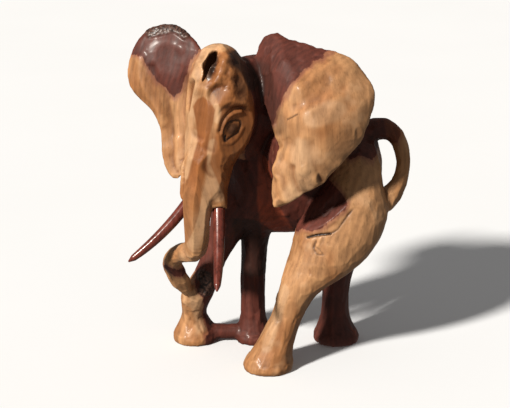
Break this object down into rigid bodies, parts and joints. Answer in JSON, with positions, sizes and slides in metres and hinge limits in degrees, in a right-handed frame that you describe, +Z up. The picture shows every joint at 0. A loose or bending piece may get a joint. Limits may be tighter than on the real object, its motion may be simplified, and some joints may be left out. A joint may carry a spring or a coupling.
{
  "type": "carved wooden elephant figurine",
  "caption": "Hand-carved two-tone wooden elephant walking with its head turned, ears spread, trunk curled to the knee, and a pair of peg-mounted wooden tusks.",
  "frame": {"origin": "on the surface that the soles stand on, under the middle of the part's bounding box", "axes": "+Z up; the elephant walks towards -X and turns its head towards -Y, so its left flank faces -Y"},
  "size_m": [0.2491, 0.1666, 0.304],
  "materials": {
    "carved_wood": "varnished two-tone carving wood, pale sapwood over dark red-brown heartwood, satin to gloss",
    "tusk_wood": "dark red-brown heartwood, glossy varnish"
  },
  "bodies": {
    "carving": {"carved_block": "carved_wood"},
    "left_tusk": {"left_tusk": "tusk_wood"},
    "right_tusk": {"right_tusk": "tusk_wood"}
  },
  "joints": [
    {"name": "left_tusk_pull", "type": "slide", "parent": "carving", "child": "left_tusk", "axis": [0.036, -0.4897, -0.8711], "range_m": [0, 0.014]},
    {"name": "right_tusk_pull", "type": "slide", "parent": "carving", "child": "right_tusk", "axis": [-0.5697, -0.0646, -0.8193], "range_m": [0, 0.014]}
  ]
}
